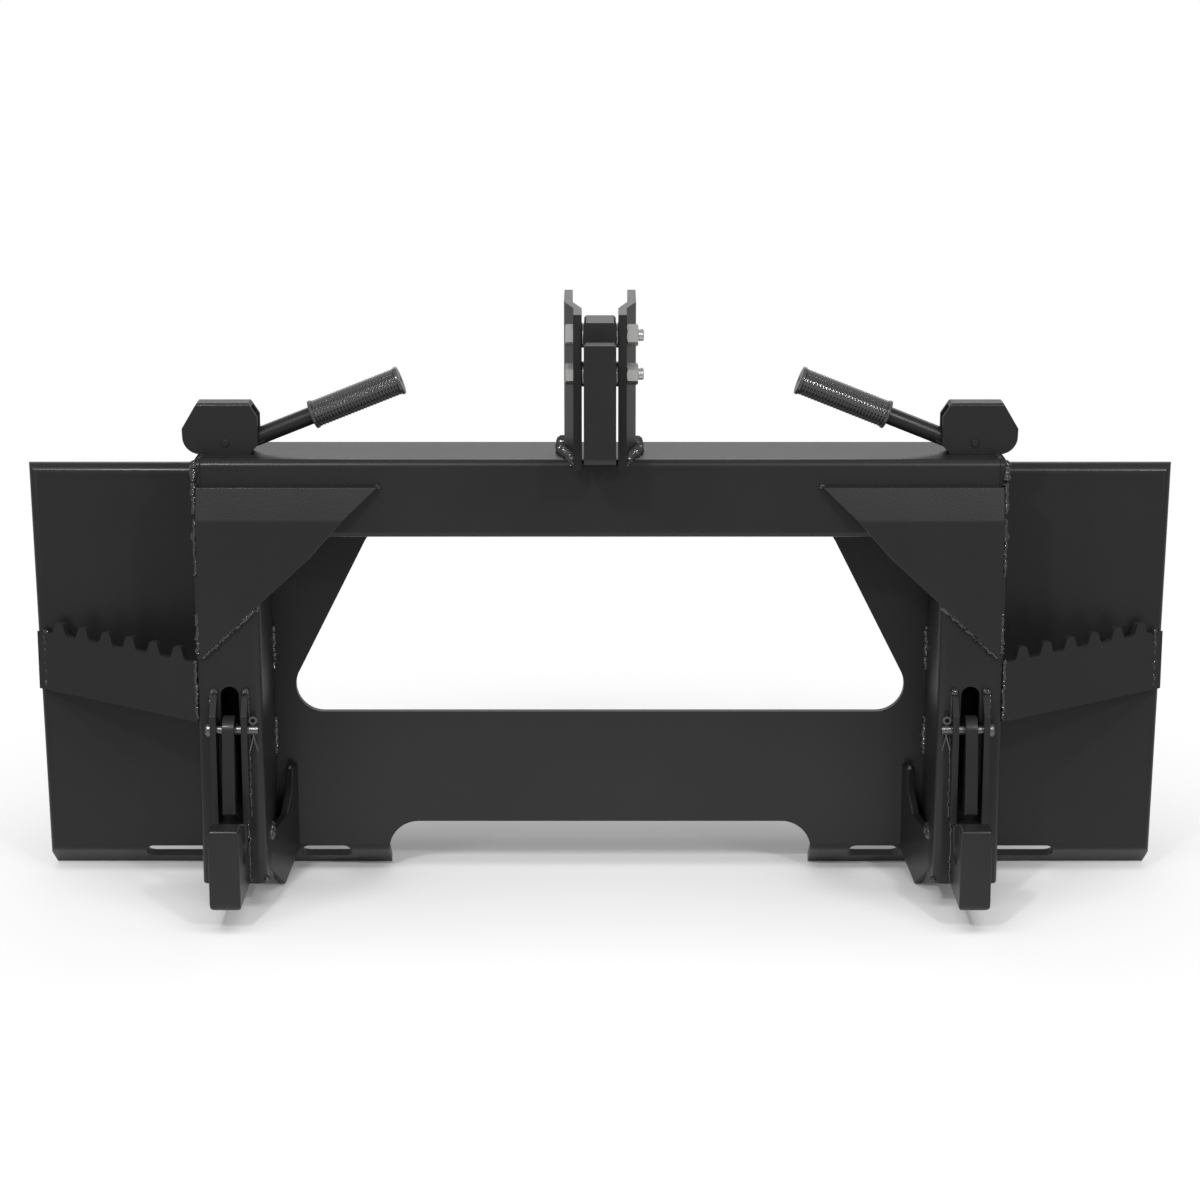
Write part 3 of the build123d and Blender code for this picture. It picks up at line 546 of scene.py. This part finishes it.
middleRuns = [
    ((-384, 1.0, 419.5), (-216, 1.0, 419.5), 2.8),
    ((-160, 1.0, 419.5), (-60, 1.0, 419.5), 2.8),
    ((60, 1.0, 419.5), (160, 1.0, 419.5), 2.8),
    ((216, 1.0, 419.5), (384, 1.0, 419.5), 2.8),
    ((-386, 1.5, 370.8), (-232, 1.5, 370.8), 2.8),
    ((232, 1.5, 370.8), (386, 1.5, 370.8), 2.8),
]
for flip in (-1, 1):
    middleRuns += [
        ((flip * 36.2, 8, 448.6), (flip * 36.2, 60, 448.6), 4.6),
        ((flip * 36.2, 58, 449.0), (flip * 27.8, 91, 448.6), 5.6),
        ((flip * 27.8, 88, 448.2), (flip * 26.6, 102, 446.8), 4.2),
        ((flip * 26.2, 102.0, 446.5), (flip * 26.0, 102.2, 441.6), 2.8),
    ]


def runPoint(point):
    return (point[0] * mm, at(point[1]), point[2] * mm)


def weldPiece(name, runs):
    grids = [weldRun(runPoint(start), runPoint(finish), radius * mm) for start, finish, radius in runs]
    piece = joined(name, grids, weldPaint, weld["sharpFrom"])
    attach(piece, "frame")


def mirrored(point):
    return (-point[0], *point[1:])


weldPiece("welds_left", sideRuns)
weldPiece("welds_right", [(mirrored(start), mirrored(finish), radius) for start, finish, radius in sideRuns])
weldPiece("welds_middle", middleRuns)

print("light and camera")
studio = {
    "lens": 90.0, "sensor": 36.0, "cameraAt": (0.0, -2.8421, 0.9878), "pitch": 13.54, "clipEnd": 200.0,
    "floorSize": 9.0, "floorWhite": 0.70, "floorRoughness": 0.9, "floorSpecular": 0.1,
    "floorFades": (0.25, 0.95), "skyForLight": 0.44,
    "lamps": (
        # name, place, aim, width, height, watts, whether gloss shows it
        ("overhead", (0.0, -0.9, 3.0), (0.0, 0.0, 0.2), 3.4, 1.6, 60.0, False),
        ("frontLeft", (-2.6, -2.8, 1.7), (0.0, 0.0, 0.3), 1.0, 1.0, 34.0, False),
        ("frontRight", (2.6, -2.8, 1.7), (0.0, 0.0, 0.3), 1.0, 1.0, 34.0, False),
        ("keyLeft", (-0.9, -2.4, 2.3), (0.0, 0.0, 0.3), 0.20, 0.20, 34.0, True),
        ("keyRight", (1.2, -2.4, 2.0), (0.0, 0.0, 0.3), 0.20, 0.20, 26.0, True),
        ("back", (0.0, 3.0, 2.2), (0.0, 0.0, 0.3), 2.4, 1.2, 18.0, True),
    ),
}
camera = bpy.data.objects.new("camera", bpy.data.cameras.new("camera"))
camera.data.lens = studio["lens"]
camera.data.sensor_width = studio["sensor"]
camera.data.clip_end = studio["clipEnd"]
camera.location = studio["cameraAt"]
camera.rotation_euler = (math.radians(90 - studio["pitch"]), 0.0, 0.0)
bpy.context.scene.collection.objects.link(camera)
bpy.context.scene.camera = camera

for name, place, aim, width, height, watts, glossy in studio["lamps"]:
    lamp = bpy.data.lights.new(name, "AREA")
    lamp.shape = "RECTANGLE"
    lamp.size = width
    lamp.size_y = height
    lamp.energy = watts
    holder = bpy.data.objects.new(name, lamp)
    holder.location = place
    holder.visible_glossy = glossy
    x, y, z = np.array(aim) - np.array(place)
    holder.rotation_euler = (math.atan2(math.hypot(x, y), -z), 0.0, math.atan2(-x, y))
    bpy.context.scene.collection.objects.link(holder)

# White where the camera sees it, straight or through glass, and a softer level for what it lights
world = bpy.data.worlds.new("studio")
world.use_nodes = True
bpy.context.scene.world = world
sky = world.node_tree
rays = node(sky, "ShaderNodeLightPath")
seen = node(sky, "ShaderNodeMath", operation="MAXIMUM")
sky.links.new(rays.outputs["Is Camera Ray"], seen.inputs[0])
sky.links.new(rays.outputs["Is Transmission Ray"], seen.inputs[1])
level = node(sky, "ShaderNodeMapRange")
level.inputs["To Min"].default_value = studio["skyForLight"]
level.inputs["To Max"].default_value = 1.0
sky.links.new(seen.outputs[0], level.inputs["Value"])
backdrop = sky.nodes["Background"]
backdrop.inputs["Color"].default_value = (1.0, 1.0, 1.0, 1.0)
sky.links.new(level.outputs[0], backdrop.inputs["Strength"])

# The floor fades into the backdrop away from the hitch
floorMaterial = bpy.data.materials.new("paleFloor")
floorMaterial.use_nodes = True
floorTree = floorMaterial.node_tree
floorShader = floorTree.nodes["Principled BSDF"]
floorShader.inputs["Base Color"].default_value = (studio["floorWhite"],) * 3 + (1.0,)
floorShader.inputs["Roughness"].default_value = studio["floorRoughness"]
floorShader.inputs["Specular IOR Level"].default_value = studio["floorSpecular"]
floorPlace = node(floorTree, "ShaderNodeTexCoord")
floorAway = node(floorTree, "ShaderNodeVectorMath", operation="LENGTH")
floorFade = node(floorTree, "ShaderNodeMapRange", interpolation_type="SMOOTHSTEP")
floorFade.inputs["From Min"].default_value = studio["floorFades"][0]
floorFade.inputs["From Max"].default_value = studio["floorFades"][1]
floorFade.inputs["To Min"].default_value = 1.0
floorFade.inputs["To Max"].default_value = 0.0
floorTree.links.new(floorPlace.outputs["Object"], floorAway.inputs[0])
floorTree.links.new(floorAway.outputs["Value"], floorFade.inputs["Value"])
floorTree.links.new(floorFade.outputs[0], floorShader.inputs["Alpha"])
half = studio["floorSize"] / 2
corners = np.array([(-half, -half, 0.0), (half, -half, 0.0), (half, half, 0.0), (-half, half, 0.0)])
floor = makePiece("floor", corners, [[0, 1, 2, 3]], floorMaterial, smooth=False)

bpy.context.scene.view_settings.view_transform = "Standard"
